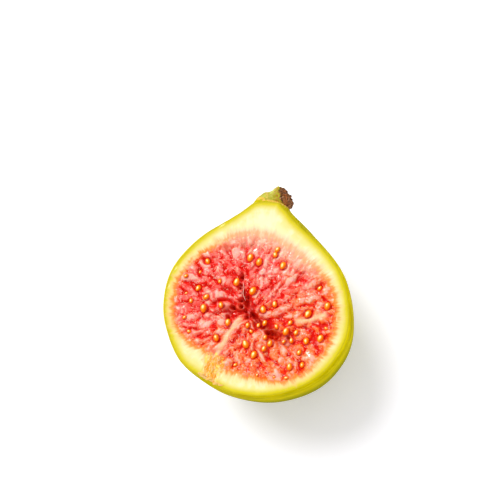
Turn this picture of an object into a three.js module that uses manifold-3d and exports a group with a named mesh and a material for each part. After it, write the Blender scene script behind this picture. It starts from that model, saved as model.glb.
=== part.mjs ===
// A fresh green fig cut in half from stem to eye. The half lies on its rounded back, cut face up.
// Millimetres. X runs across the cut face, Y from the eye to the stem, Z up.
// The shapes are worked out with the cut plane at z = 0 and lifted onto the surface at the end.
import * as THREE from 'three';
import { mergeVertices } from 'three/addons/utils/BufferGeometryUtils.js';
import Module from 'manifold-3d';

// Driving dimensions
const FACE_HEIGHT = 24.9; // cut face above the surface that the half lies on
const BACK_DEPTH = 25.5; // rounded back below the cut face, before its rest spot is flattened
const BELLY_DROP = 1.6; // the knife passed this far in front of the middle of the belly
const NECK_DROP = 4.4; // and this far in front of the middle of the neck
const NECK_DROP_START = 8; // how far up the fig its middle begins to bend away from the knife
const NECK_DROP_END = 25;
const RIB_DEPTH = 0.28; // shallow ribs that run from stem to eye on the skin
const RIBS_AROUND = 12;

const PULP_DEPTH = 21.6; // leaves the same pale wall under the pulp as beside it
const PULP_LEVEL = -0.75; // level of the pulp's hollows, measured from the cut plane
const RIM_LEVEL = -0.15; // level of the pulp's very edge
const PULP_CLEARANCE = 3; // the hollow for the pulp is cut this far up past the cut plane
const FIT_GAP = 0.3; // clear space between neighbouring pieces

const FLORET_COUNT = 135; // fleshy florets that show on the cut pulp
const FLORET_LENGTH = 4.4;
const FLORET_WIDTH = 2.9;
const FLORET_HEIGHT = 1.3;
const FLORET_SWAY = 0.6;
const CLEFT_DEPTH = 2.4; // hollow middle of the pulp
const CLEFT_WIDTH = 2.6;
const DISH_DEPTH = 0.7; // gentle sinking of the pulp towards the cleft
const SEED_LENGTH = 2.2;
const SEED_WIDTH = 1.7;
const SEED_SWAY = 0.3; // how far a seed may stand off its row
const DRAW_SEED = 20;

const EYE_GROOVE_WIDTH = 3.0; // channel through the wall to the eye of the fig
const EYE_GROOVE_DEPTH = 1.1;

const STEM_RADIUS = 3.0;
const STEM_END_RADIUS = 3.3; // the corky end is a little flared

// Mesh fineness
const BODY_RINGS = 44;
const BODY_SIDES = 56;
const PULP_SECTORS = 88;
const PULP_RINGS = 25;
const BOWL_RINGS = 7;
const STEM_SIDES = 18;
const STEM_STEPS = 8;

// The widest outline of the fig, seen square to the cut: each side from the neck down to the eye.
const LEFT_SIDE = [
  [-7, 27.4], [-10.2, 26.6], [-11.3, 24.4], [-13.2, 21.2], [-21.1, 11.2], [-24.9, 1.5],
  [-23.5, -8], [-19.3, -15], [-13.8, -20.4], [-6.8, -23.4],
];
const RIGHT_SIDE = [
  [-7, 27.4], [-3.2, 26.6], [-1, 24.6], [5.1, 21.6], [19.6, 11.5], [25.8, -1.4],
  [25, -9.5], [21.2, -16.3], [12.2, -22.6], [1, -24.6], [-6.8, -23.4],
];
const EYE = new THREE.Vector2(-6.8, -23.4);

// The edge of the pulp on the cut face, counter-clockwise from the left, with a tongue to the eye.
const PULP_EDGE = [
  [-22.1, -1.5], [-19.2, -11], [-13.2, -15.4], [-8.2, -16.6], [-5.4, -19.2], [2.5, -19.6], [9.8, -19.3],
  [16.2, -16.9], [20.3, -11.6], [22.1, -3.5], [20.2, 4.6], [15.2, 10.2], [8.8, 13.8], [1.4, 16.4],
  [-5.6, 17.1], [-11.7, 14.9], [-16.4, 10.4], [-20.6, 4.8],
];
const PULP_MIDDLE = new THREE.Vector3(0, -1, 0);

// The hollow middle of the pulp, from the stem side down and out to the right.
const CLEFT_LINE = [[-7.4, 6.4], [-4.7, 1.5], [-2.4, -2.4], [1.4, -4.9], [7.2, -6.2], [11.5, -6.6]];

const CLEFT_HEART = new THREE.Vector2(-1, -3.5); // where the florets point to

// Seeds stand in loose rows: start x, start y, end x, end y, bow of the row, number of seeds.
const SEED_ROWS = [
  [-6, 10.2, 3.3, 10.5, 2.2, 5],
  [-16.4, 6.6, -17, -4.8, 0, 4],
  [-13.3, -2.4, -13, -5.5, 0, 2],
  [-7, 3.3, -2.3, 2.4, 0, 2],
  [-8.7, -3.4, -5.4, -7.2, 0, 2],
  [2.1, -1.3, 4.8, 0.5, 0, 2],
  [14, 7.3, 17.8, 3.7, 0, 2],
  [13.6, 0.2, 10.2, -3.2, 0, 2],
  [-0.3, -6.7, 11.9, -5.2, 0.2, 6],
  [1.2, -11.3, 5, -8.4, 0, 2],
  [-7, -11.7, 4.2, -13.5, 0, 2],
  [6, -11.2, 18.8, -5.1, 0.7, 6],
  [14.1, -13.9, 15.2, -9.7, -2, 3],
];

const wasm = await Module();
wasm.setup();

// Repeatable draw of numbers from 0 to 1
function makeDraw(seed) {
  let state = seed >>> 0;
  return () => {
    state = (state + 0x6d2b79f5) >>> 0;
    let mixed = Math.imul(state ^ (state >>> 15), state | 1);
    mixed ^= mixed + Math.imul(mixed ^ (mixed >>> 7), mixed | 61);
    return ((mixed ^ (mixed >>> 14)) >>> 0) / 4294967296;
  };
}

function hump(distance, width) {
  return Math.exp(-((distance / width) ** 2));
}

// Closed mesh from rows of points that run round a shape, with a single point at each end
function skinRows(rows, firstPoint, lastPoint) {
  const sides = rows[0].length;
  const positions = [firstPoint, ...rows.flat(), lastPoint].flatMap((point) => [point.x, point.y, point.z]);
  const last = 1 + rows.length * sides;
  const faces = [];
  for (let side = 0; side < sides; side += 1) {
    const next = (side + 1) % sides;
    faces.push(0, 1 + side, 1 + next);
    faces.push(last, last - sides + next, last - sides + side);
    for (let row = 0; row + 1 < rows.length; row += 1) {
      const here = 1 + row * sides;
      const below = here + sides;
      faces.push(here + side, below + side, here + next);
      faces.push(here + next, below + side, below + next);
    }
  }
  const geometry = new THREE.BufferGeometry();
  geometry.setAttribute('position', new THREE.Float32BufferAttribute(positions, 3));
  geometry.setIndex(faces);
  return geometry;
}

function toSolid(geometry) {
  const bare = geometry.clone();
  bare.deleteAttribute('normal');
  bare.deleteAttribute('uv');
  const merged = mergeVertices(bare, 1e-4);
  return new wasm.Manifold(new wasm.Mesh({
    numProp: 3,
    vertProperties: new Float32Array(merged.attributes.position.array),
    triVerts: new Uint32Array(merged.index.array),
  }));
}

function toGeometry(solid) {
  const mesh = solid.getMesh();
  const geometry = new THREE.BufferGeometry();
  geometry.setAttribute('position', new THREE.Float32BufferAttribute(mesh.vertProperties, 3));
  geometry.setIndex([...mesh.triVerts]);
  geometry.computeVertexNormals();
  return geometry;
}

function sideCurve(points) {
  return new THREE.CatmullRomCurve3(points.map(([x, y]) => new THREE.Vector3(x, y, 0)), false, 'centripetal');
}

const leftCurve = sideCurve(LEFT_SIDE);
const rightCurve = sideCurve(RIGHT_SIDE);

// Whole fig as rings strung between its two sides. grow swells it by that much all round.
function wholeFig(grow) {
  const rows = [];
  const widest = Math.max(...[...Array(BODY_RINGS).keys()].map((ring) => ringSpan(ring).halfWidth));
  for (let ring = 0; ring < BODY_RINGS; ring += 1) {
    const { middle, along, halfWidth } = ringSpan(ring);
    const bend = THREE.MathUtils.smoothstep(middle.y, NECK_DROP_START, NECK_DROP_END);
    const drop = THREE.MathUtils.lerp(BELLY_DROP, NECK_DROP, bend);
    const roundness = THREE.MathUtils.lerp((BACK_DEPTH - BELLY_DROP) / widest, 1, bend);
    const ribFade = THREE.MathUtils.smoothstep(halfWidth, 5, 18);
    const row = [];
    for (let side = 0; side < BODY_SIDES; side += 1) {
      const turn = (2 * Math.PI * side) / BODY_SIDES;
      const rib = RIB_DEPTH * ribFade * (0.5 - 0.5 * Math.cos(RIBS_AROUND * turn));
      const reach = halfWidth + grow - rib;
      row.push(new THREE.Vector3(
        middle.x + along.x * reach * Math.cos(turn),
        middle.y + along.y * reach * Math.cos(turn),
        -drop - reach * roundness * Math.sin(turn),
      ));
    }
    rows.push(row);
  }
  const top = new THREE.Vector3(LEFT_SIDE[0][0], LEFT_SIDE[0][1] + grow, -NECK_DROP);
  const eye = new THREE.Vector3(EYE.x, EYE.y - grow, -BELLY_DROP);
  return toSolid(skinRows(rows, top, eye));
}

function ringSpan(ring) {
  // Rings crowd together towards both ends, where the shape turns fastest.
  const share = 0.5 - 0.5 * Math.cos((Math.PI * (ring + 0.7)) / (BODY_RINGS + 0.4));
  const left = leftCurve.getPointAt(share);
  const right = rightCurve.getPointAt(share);
  const along = right.clone().sub(left);
  const halfWidth = along.length() / 2;
  return { middle: left.add(right).multiplyScalar(0.5), along: along.normalize(), halfWidth };
}

const pulpEdge = new THREE.CatmullRomCurve3(
  PULP_EDGE.map(([x, y]) => new THREE.Vector3(x, y, 0)),
  true,
  'centripetal',
);

// Point of the pulp on the way from its middle to its edge. The turn goes once round from 0 to 1.
function pulpPoint(turn, share, grow = 0) {
  const spoke = pulpEdge.getPointAt(turn).sub(PULP_MIDDLE);
  return spoke.setLength((spoke.length() + grow) * share).add(PULP_MIDDLE);
}

function distanceToLine(x, y, points) {
  let nearest = Infinity;
  for (let index = 0; index + 1 < points.length; index += 1) {
    const [startX, startY] = points[index];
    const spanX = points[index + 1][0] - startX;
    const spanY = points[index + 1][1] - startY;
    const along = ((x - startX) * spanX + (y - startY) * spanY) / (spanX * spanX + spanY * spanY);
    const share = THREE.MathUtils.clamp(along, 0, 1);
    nearest = Math.min(nearest, Math.hypot(x - startX - spanX * share, y - startY - spanY * share));
  }
  return nearest;
}

// Florets lie like spokes round the cleft, spread evenly over the pulp by the golden angle.
function placeFlorets() {
  const draw = makeDraw(DRAW_SEED);
  return [...Array(FLORET_COUNT).keys()].map((index) => {
    const turn = (index * (3 - Math.sqrt(5))) / 2;
    const place = pulpPoint(turn % 1, 0.97 * Math.sqrt((index + 0.5) / FLORET_COUNT));
    place.x += FLORET_SWAY * (2 * draw() - 1);
    place.y += FLORET_SWAY * (2 * draw() - 1);
    return {
      x: place.x,
      y: place.y,
      heading: Math.atan2(place.y - CLEFT_HEART.y, place.x - CLEFT_HEART.x) + 0.35 * (2 * draw() - 1),
      height: FLORET_HEIGHT * (0.55 + 0.45 * draw()),
    };
  });
}

const florets = placeFlorets();

// Height of the cut pulp over the cut plane: florets stand up from hollows, around a deep cleft.
function pulpHeight(x, y) {
  let floretTop = 0;
  for (const floret of florets) {
    const aside = Math.hypot(x - floret.x, y - floret.y);
    if (aside < FLORET_LENGTH) {
      const forward = (x - floret.x) * Math.cos(floret.heading) + (y - floret.y) * Math.sin(floret.heading);
      const sideways = (y - floret.y) * Math.cos(floret.heading) - (x - floret.x) * Math.sin(floret.heading);
      const away = (2 * forward / FLORET_LENGTH) ** 2 + (2 * sideways / FLORET_WIDTH) ** 2;
      floretTop = Math.max(floretTop, floret.height * (1 - away));
    }
  }
  const toCleft = distanceToLine(x, y, CLEFT_LINE);
  const calm = 1 - 0.6 * hump(toCleft, CLEFT_WIDTH / 2);
  return PULP_LEVEL + floretTop * calm
    - CLEFT_DEPTH * hump(toCleft, CLEFT_WIDTH / 2)
    - DISH_DEPTH * hump(toCleft, 4 * CLEFT_WIDTH);
}

// One closed row of points round the pulp, from a function that places each
function ringOfPoints(place) {
  return [...Array(PULP_SECTORS).keys()].map((sector) => place(sector / PULP_SECTORS));
}

// Bowl under the pulp: rows from the rim down, and its lowest point
function bowlRows(grow) {
  const rows = [];
  for (let ring = 0; ring < BOWL_RINGS; ring += 1) {
    const dip = (Math.PI / 2) * (ring / BOWL_RINGS);
    rows.push(ringOfPoints((turn) => {
      const point = pulpPoint(turn, Math.cos(dip), grow);
      return point.setZ(-(PULP_DEPTH + grow) * Math.sin(dip));
    }));
  }
  return { rows, lowest: PULP_MIDDLE.clone().setZ(-PULP_DEPTH - grow) };
}

function makePulpBody() {
  const rows = [];
  for (let ring = 1; ring <= PULP_RINGS; ring += 1) {
    const share = ring / PULP_RINGS;
    const relief = THREE.MathUtils.smoothstep(1 - share, 0, 0.12);
    rows.push(ringOfPoints((turn) => {
      const point = pulpPoint(turn, share);
      return point.setZ(THREE.MathUtils.lerp(RIM_LEVEL, pulpHeight(point.x, point.y), relief));
    }));
  }
  const { rows: bowl, lowest } = bowlRows(0);
  const middle = PULP_MIDDLE.clone().setZ(pulpHeight(PULP_MIDDLE.x, PULP_MIDDLE.y));
  return toSolid(skinRows([...rows, ...bowl.slice(1)], middle, lowest));
}

function makeCavity() {
  const { rows: bowl, lowest } = bowlRows(FIT_GAP);
  const lid = bowl[0].map((point) => point.clone().setZ(PULP_CLEARANCE));
  return toSolid(skinRows([lid, ...bowl], PULP_MIDDLE.clone().setZ(PULP_CLEARANCE), lowest));
}

// Small plump seeds, half sunk in the pulp
function makeSeeds() {
  const draw = makeDraw(DRAW_SEED + 1);
  const grain = new THREE.IcosahedronGeometry(0.5, 0);
  const seeds = [];
  for (const [startX, startY, endX, endY, bow, count] of SEED_ROWS) {
    const length = Math.hypot(endX - startX, endY - startY);
    for (let index = 0; index < count; index += 1) {
      const share = index / (count - 1);
      const lift = bow * 4 * share * (1 - share);
      const x = THREE.MathUtils.lerp(startX, endX, share) - (lift * (endY - startY)) / length;
      const y = THREE.MathUtils.lerp(startY, endY, share) + (lift * (endX - startX)) / length;
      const seedX = x + SEED_SWAY * (2 * draw() - 1);
      const seedY = y + SEED_SWAY * (2 * draw() - 1);
      const placed = grain.clone()
        .scale(SEED_LENGTH, SEED_WIDTH, SEED_WIDTH)
        .rotateZ(Math.PI * draw())
        .translate(seedX, seedY, pulpHeight(seedX, seedY) + 0.25 * SEED_WIDTH);
      seeds.push(toSolid(placed));
    }
  }
  return seeds;
}

function makePulp() {
  return makeSeeds().reduce((joined, seed) => joined.add(seed), makePulpBody());
}

// Channel in the cut face that leads from the pulp to the eye
function makeEyeGroove() {
  const heading = Math.atan2(EYE.y, EYE.x);
  const length = 10;
  const round = new THREE.CylinderGeometry(EYE_GROOVE_WIDTH / 2, EYE_GROOVE_WIDTH / 2, length, 12);
  const middle = EYE.clone().multiplyScalar(0.93);
  return toSolid(round
    .scale(1, 1, (2 * EYE_GROOVE_DEPTH) / EYE_GROOVE_WIDTH)
    .rotateZ(heading - Math.PI / 2)
    .translate(middle.x, middle.y, 0));
}

// Slab that keeps what lies between the surface and the cut
function makeKnifeSlab() {
  return toSolid(new THREE.BoxGeometry(90, 90, FACE_HEIGHT).translate(0, 0, -FACE_HEIGHT / 2));
}

function makeRind() {
  return wholeFig(0).intersect(makeKnifeSlab()).subtract(makeCavity()).subtract(makeEyeGroove());
}

// Stub of stem that bends to the right out of the neck and ends in a corky, flared cut
function makeStem() {
  const route = new THREE.CatmullRomCurve3([
    new THREE.Vector3(-7.6, 24.8, -4.7),
    new THREE.Vector3(-5.7, 26.8, -4.5),
    new THREE.Vector3(-3.4, 29.2, -3.9),
  ]);
  const frames = route.computeFrenetFrames(STEM_STEPS, false);
  const rows = [];
  for (let step = 0; step <= STEM_STEPS; step += 1) {
    const share = step / STEM_STEPS;
    const centre = route.getPointAt(share);
    const flare = THREE.MathUtils.smoothstep(share, 0.6, 0.9);
    const radius = THREE.MathUtils.lerp(STEM_RADIUS, STEM_END_RADIUS, flare);
    rows.push([...Array(STEM_SIDES).keys()].map((side) => {
      const turn = (2 * Math.PI * side) / STEM_SIDES;
      return centre.clone()
        .addScaledVector(frames.normals[step], radius * Math.cos(turn))
        .addScaledVector(frames.binormals[step], radius * Math.sin(turn));
    }));
  }
  const cutEnd = route.getPointAt(1).addScaledVector(frames.tangents[STEM_STEPS], 0.3);
  return toSolid(skinRows(rows.reverse(), cutEnd, route.getPointAt(0))).subtract(wholeFig(FIT_GAP));
}

function piece(name, solid, color, roughness) {
  const material = new THREE.MeshStandardMaterial({ color, roughness, metalness: 0 });
  const mesh = new THREE.Mesh(toGeometry(solid), material);
  mesh.name = name;
  return mesh;
}

const fig = new THREE.Group();
fig.add(piece('rind', makeRind(), 0xc4c02c, 0.5));
fig.add(piece('pulp', makePulp(), 0xe0484a, 0.25));
fig.add(piece('stem', makeStem(), 0x8a7a3a, 0.75));

// The origin is on the surface, under the middle of the fig's box.
const reach = new THREE.Box3().setFromObject(fig);
const middle = reach.getCenter(new THREE.Vector3());
fig.position.set(-middle.x, -middle.y, FACE_HEIGHT);

export default fig;
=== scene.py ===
import math

import bmesh
import bpy
import numpy as np
from mathutils import Matrix, Vector


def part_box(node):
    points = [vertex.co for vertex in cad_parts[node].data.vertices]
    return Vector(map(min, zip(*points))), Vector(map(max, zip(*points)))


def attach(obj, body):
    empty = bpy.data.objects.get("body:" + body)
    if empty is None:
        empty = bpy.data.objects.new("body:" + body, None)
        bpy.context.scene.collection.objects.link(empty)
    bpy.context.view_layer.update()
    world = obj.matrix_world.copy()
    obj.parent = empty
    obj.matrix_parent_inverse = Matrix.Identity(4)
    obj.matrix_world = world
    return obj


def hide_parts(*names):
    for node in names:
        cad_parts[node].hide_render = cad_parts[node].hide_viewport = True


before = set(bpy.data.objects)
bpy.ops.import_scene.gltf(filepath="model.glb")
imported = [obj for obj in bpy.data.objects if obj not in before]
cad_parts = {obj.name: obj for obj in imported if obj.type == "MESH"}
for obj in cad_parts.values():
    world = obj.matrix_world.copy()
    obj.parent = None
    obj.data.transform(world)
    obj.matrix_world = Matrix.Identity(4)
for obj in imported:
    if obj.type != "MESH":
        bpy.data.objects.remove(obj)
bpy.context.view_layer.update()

bl_info = {
    "name": "Halved Fresh Fig",
    "version": (1, 0, 0),
    "blender": (4, 5, 0),
    "location": "3D View > Sidebar > Fig",
    "description": "Dresses a halved green fig with skin, flesh, wet pulp, seeds and stem on a stage",
    "category": "Object",
}

# Shapes are worked out in millimetres with the cut plane at z = 0, X across the cut face and Y from
# the eye to the stem. place_in_frame moves them to the frame's own place, in metres.
MM = 0.001

# Outline of the fig at its widest, each side from the neck down to the eye
LEFT_SIDE = [
    (-7, 27.4), (-10.2, 26.6), (-11.3, 24.4), (-13.2, 21.2), (-21.1, 11.2), (-24.9, 1.5),
    (-23.5, -8), (-19.3, -15), (-13.8, -20.4), (-6.8, -23.4),
]
RIGHT_SIDE = [
    (-7, 27.4), (-2.9, 26.9), (-0.3, 25.0), (5.5, 21.9), (19.6, 11.5), (25.8, -1.4),
    (25, -9.5), (21.2, -16.3), (12.2, -22.6), (1, -24.6), (-6.8, -23.4),
]
EYE = np.array([-6.8, -23.4])

# Edge of the pulp on the cut face, counter-clockwise from the left
PULP_EDGE = [
    (-22.1, -1.5), (-19.2, -11), (-13.2, -15.4), (-8.2, -16.6), (-5.4, -19.2), (2.5, -19.6), (9.8, -19.3),
    (16.2, -16.9), (20.3, -11.6), (22.1, -3.5), (20.2, 4.6), (15.2, 10.2), (8.8, 13.8), (1.4, 16.4),
    (-5.6, 17.1), (-11.7, 14.9), (-16.4, 10.4), (-20.6, 4.8),
]
PULP_MIDDLE = np.array([0.0, -1.0])

# Depth of the fig behind the cut plane
BACK_DEPTH = 25.5  # of the round back, before the rest spot flattens it
FACE_HEIGHT = 24.9  # of the cut plane above the rest spot
REST_SOFTNESS = 0.15
RIBS_AROUND = 12

# How far the widest line of the skin lies behind the cut plane, at the belly and at the neck
BELLY_DROP = 1.6
NECK_DROP = 4.4
NECK_DROP_START = 8
NECK_DROP_END = 25
NECK_END = (22, 27)
NECK_END_RISE = 0.7  # how much less it is at the neck's very end
# On the neck's right flank it lies deeper still
FLANK_DROP = 2.1
FLANK_PLACE = 20.0
FLANK_LENGTH = 4.4
FLANK_FADE = (22, 25.2)

# Greener skin towards the neck, darker green low down as painted shade, and the peach collar round the
# neck's end
NECK_GREEN = (12, 25)
LOW_SHADE = (0.5, 8)
COLLAR_PLACE = 26.2
COLLAR_WIDTH = 0.8

# Blunt tip of the neck: the way that it points, and how far a straight cut across it would lie
NECK_TIP_AHEAD = (-0.26, 0.965)
NECK_TIP_REACH = 25.9
NECK_BLUNTING = 0.85  # share by which what lies beyond that cut is pushed in

# Shallow notch in the outline at the eye
EYE_DENT = 0.7
EYE_DENT_PLACE = -4.8
EYE_DENT_WIDTH = 4.6

# Fibrous patch between pulp and eye, with its middle and width at its top and at the eye
EYE_PATCH_TOP = -16.0
EYE_PATCH_LENGTH = 7.4
EYE_PATCH_MIDDLES = (-5.4, -4.6)
EYE_PATCH_WIDTHS = (4.0, 2.6)
EYE_PATCH_FADE = (-15.0, -17.5)

# Pulp and the flesh round it
PULP_DEPTH = 21.6
PULP_SHOULDER = 1.0  # drop from the pulp's border to its bowl
PULP_OVERLAP = 2.2  # how far the pulp runs out under the cut face
FRINGE_DROP = 0.9  # how far its border dives under the wall
FLESH_UNDERLAP = 3.2  # how far the pale wall runs on under the fringe of the pulp
FLESH_DIP = 1.1  # how far the wall sinks there
HOLLOW_TOP = 1.3  # drop from the cut plane to the hollow under the wall's end
BOWL_STEPS = 9
SIDE_FRINGE = 1.5  # width of the pulp's soft fringe along the sides
CROWN_FRINGE = 3.1  # and below the stem
OUTER_FRINGE = 1.7  # width of the tinted flesh beyond it
DRUM_RADIUS = 20  # of the drum on which noise runs along the spokes
SPOKE_STRETCH = 6.25  # how much longer than wide that noise is

# Dark heart of the pulp: a slit that opens from the upper left, a branch and a crevice to the right
SLIT = [(-6.3, 5.7), (-5.1, 3.0), (-3.6, -0.4), (-1.4, -2.8), (1.5, -4.8), (3.6, -6.1)]
BRANCH = [(-6.5, -4.2), (-4.2, -2.8), (-1.3, -3.3)]
CREVICE = [(4.8, -6.3), (7.7, -7.4), (10.3, -8.0)]
HEART = np.array([0.0, -4.0])
SLIT_WIDTH = 0.36
HEART_SINK = 0.6  # how far the pulp sinks round the heart
HEART_SINK_WIDTH = 4.5
HEART_SHADE_WIDTH = 2.6

# Lobes and creases, spread by the golden angle round the middle of the pulp
GOLDEN_ANGLE = math.pi * (3 - math.sqrt(5))
LOBES_REACH = 1.04  # share of the way to the pulp's edge
LOBES_SUNK = 0.6  # how far the ground between the lobes lies below the cut plane
LOBES_SHIFT = 0.9  # how far a lobe may stand from its place in the pattern
CREASE_COUNT = 26
CREASE_DEPTH = 0.4
CREASE_WIDTH = 0.3
WARM_SLOPE = 0.022  # how fast the pulp turns from pink to salmon, away from the stem

# Smooth pale strips: one runs to the eye, the other to the right
PALE_STRIPS = [
    [(-3.0, -6.0), (-4.1, -9.8), (-4.7, -14.0), (-5.2, -16.6)],
    [(11.9, -2.5), (15.1, -1.0), (18.2, 0.9)],
]
STRIP_WIDTH = 0.7

# Pale thread that stands in the slit
SLIT_THREAD = [(-5.4, 3.7), (-4.6, 2.3), (-4.3, 0.8), (-3.0, -0.8)]
SLIT_THREAD_LOW = -0.5

# Seeds on the cut face: place across, place up, and size, where 1 is a full-grown seed
SEED_PLACES = [
    (-5.6, 10.1, 1.0), (-2.9, 9.6, 1.0), (0.5, 12.5, 0.8), (0.6, 13.9, 0.8), (3.4, 10.3, 1.0),
    (-6.8, 3.1, 1.0), (-2.0, 2.1, 1.1), (2.2, -1.8, 0.95), (4.7, 0.2, 0.8), (13.8, 0.1, 1.05),
    (14.4, 7.2, 0.7), (18.0, 3.2, 1.0), (-16.2, -0.9, 0.85), (-13.2, -2.7, 0.85), (-12.8, -5.7, 1.05),
    (-16.6, -4.7, 0.65), (-16.3, 6.4, 0.8), (-8.6, -3.7, 0.8), (-5.3, -7.5, 0.9), (-6.9, -12.1, 0.9),
    (-0.1, -6.9, 0.7), (2.4, -6.0, 0.6), (3.9, -5.1, 0.75), (7.3, -5.3, 0.6), (10.0, -5.8, 1.0),
    (10.3, -3.4, 0.7), (12.6, -5.3, 0.75), (12.1, -7.6, 0.65), (10.4, -8.4, 0.55), (15.8, -6.7, 0.95),
    (19.1, -5.2, 1.0), (1.2, -11.7, 1.05), (5.4, -8.7, 0.65), (7.1, -9.8, 0.85), (6.1, -11.5, 0.8),
    (4.1, -13.7, 1.0), (15.2, -10.0, 0.75), (14.1, -14.2, 0.95), (16.8, -12.7, 0.75), (1.1, -8.0, 0.55),
    (-11.2, 2.2, 0.6),
]
SEED_STANDS = 0.28  # rise of a seed's middle over its pocket, as a share of its half width
POCKET_GROOVE = 0.22  # depth of the groove round a seed
POCKET_RING = 0.28  # width of the groove, as a share of the seed's size

# Small seeds tried along the pulp's edge, and the room that each needs
EDGE_SEED_TRIES = 24
EDGE_SEED_TOP = 9
EDGE_SEED_GAP = 2.2

# Middle line of the stub of stem, from inside the neck to its corky end
STEM_ROUTE = [(-8.6, 22.4, -5.2), (-7.5, 24.9, -4.8), (-5.7, 27.0, -4.1), (-2.9, 29.2, -3.1)]
STEM_FLARE = 0.9  # how far the foot spreads on its left
STEM_OBLIQUE = 0.75  # how far the cut end falls back on its left

# Scales in the mouth of the eye: row from left to right, number, and half size of one
SCALE_ROW = [(-7.9, -22.0), (-1.2, -23.5)]
SCALE_COUNT = 20
SCALE_SIZE = np.array([0.6, 0.24, 0.1])

# Camera: it looks down on the cut face, turned so that the stem leans to the right
CAMERA_RIGHT = Vector((0.906, 0.334, -0.261))
CAMERA_UP = Vector((-0.248, 0.917, 0.312))
CAMERA_DISTANCE = 0.6
CAMERA_AIM = (-4.25, 15.0)  # millimetres to the right and up from the middle of the cut face
SENSOR_WIDTH = 36.0

# Where the lights come from, to the camera's right, up and towards it, and their spread in degrees
KEY_FROM = (-0.55, 0.66, 0.5)
KEY_SPREAD = 45
GLINT_FROM = (-0.6, 0.68, 0.42)
GLINT_SPREAD = 16
FLOOR_HALF = 6.0  # metres
THIN_FILM = 1.35  # index of refraction of juice and wax


def screen(red, green, blue):
    """Scene colour from the 0 to 255 values that a screen shows."""
    shares = [value / 255 for value in (red, green, blue)]
    return tuple(((s + 0.055) / 1.055) ** 2.4 if s > 0.04 else s / 12.92 for s in shares)


def length_prop(name, description, millimetres):
    return bpy.props.FloatProperty(
        name=name, description=description, default=millimetres * MM, min=0, subtype="DISTANCE",
        unit="LENGTH", precision=5)


def colour_prop(name, description, red, green, blue):
    return bpy.props.FloatVectorProperty(
        name=name, description=description, default=screen(red, green, blue), subtype="COLOR",
        min=0, max=1, size=3)


def strength_prop(name, description, default):
    return bpy.props.FloatProperty(name=name, description=description, default=default, min=0)


class FigShape(bpy.types.PropertyGroup):
    """Sizes of what is modelled on the fig"""

    rib_depth: length_prop("Rib depth", "Depth of the ribs that run from stem to eye", 0.28)
    vein_depth: length_prop("Vein depth", "Height of the fine veins on the skin", 0.035)
    edge_round: length_prop("Edge round", "Rounding where the knife went through the skin", 0.5)
    floret_height: length_prop("Lobe height", "How far the large lobes of the pulp stand up", 0.95)
    cleft_depth: length_prop("Heart depth", "Depth of the slit and pits in the heart of the pulp", 1.7)
    seed_length: length_prop("Seed length", "Length of a seed", 2.1)
    seed_width: length_prop("Seed width", "Width of a seed", 1.5)
    stem_radius: length_prop("Stem radius", "Radius of the stub of stem", 3.0)
    floret_count: bpy.props.IntProperty(
        name="Lobes", description="Number of large lobes on the cut pulp", default=220, min=20)
    thread_count: bpy.props.IntProperty(
        name="Threads", description="Number of pale threads on the lobes", default=8, min=0)
    draw_seed: bpy.props.IntProperty(
        name="Draw", description="Start of the repeatable random draw", default=20, min=0)


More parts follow.
